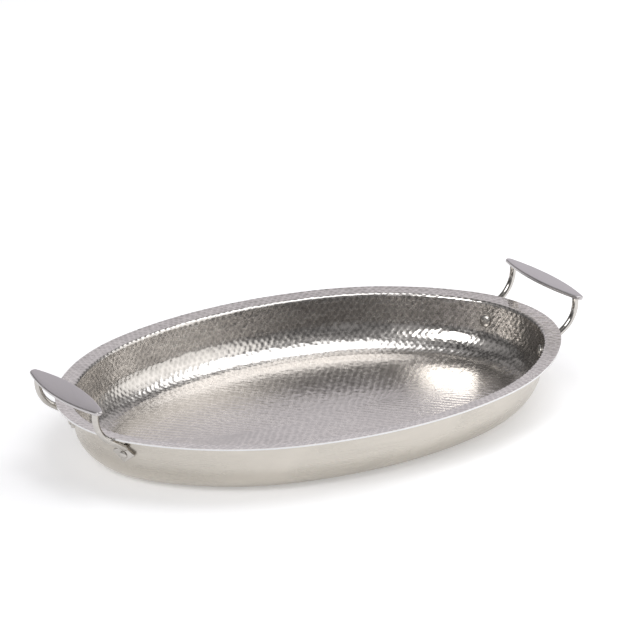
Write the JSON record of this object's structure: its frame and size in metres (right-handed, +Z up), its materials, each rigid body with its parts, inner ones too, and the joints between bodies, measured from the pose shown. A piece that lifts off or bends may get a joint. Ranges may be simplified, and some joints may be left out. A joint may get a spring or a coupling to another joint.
{
  "type": "hammered oval serving pan",
  "caption": "Oval hammered clad pan with a flared rim and two raised grip plates on bent, riveted legs.",
  "frame": {"origin": "middle of the pan's footprint, on the surface it stands on", "axes": "+X along the pan's length towards the right grip, +Y to the back, +Z up out of the pan"},
  "size_m": [0.4896, 0.31, 0.079],
  "materials": {
    "hammered_steel": "bright stainless steel, hammered all over",
    "core_aluminium": "plain rolled aluminium, seen only as a line in the trimmed edge",
    "brushed_shell": "stainless steel brushed round the pan",
    "satin_grip": "satin stainless steel brushed along the grip",
    "polished_leg": "polished stainless steel",
    "polished_rivet": "polished stainless steel"
  },
  "bodies": {
    "root": {"inner_liner": "hammered_steel", "aluminium_core": "core_aluminium", "outer_shell": "brushed_shell", "grip_plate_left": "satin_grip", "grip_plate_right": "satin_grip", "leg_left_front": "polished_leg", "leg_left_back": "polished_leg", "leg_right_front": "polished_leg", "leg_right_back": "polished_leg", "rivet_left_front": "polished_rivet", "rivet_left_back": "polished_rivet", "rivet_right_front": "polished_rivet", "rivet_right_back": "polished_rivet"}
  },
  "joints": []
}
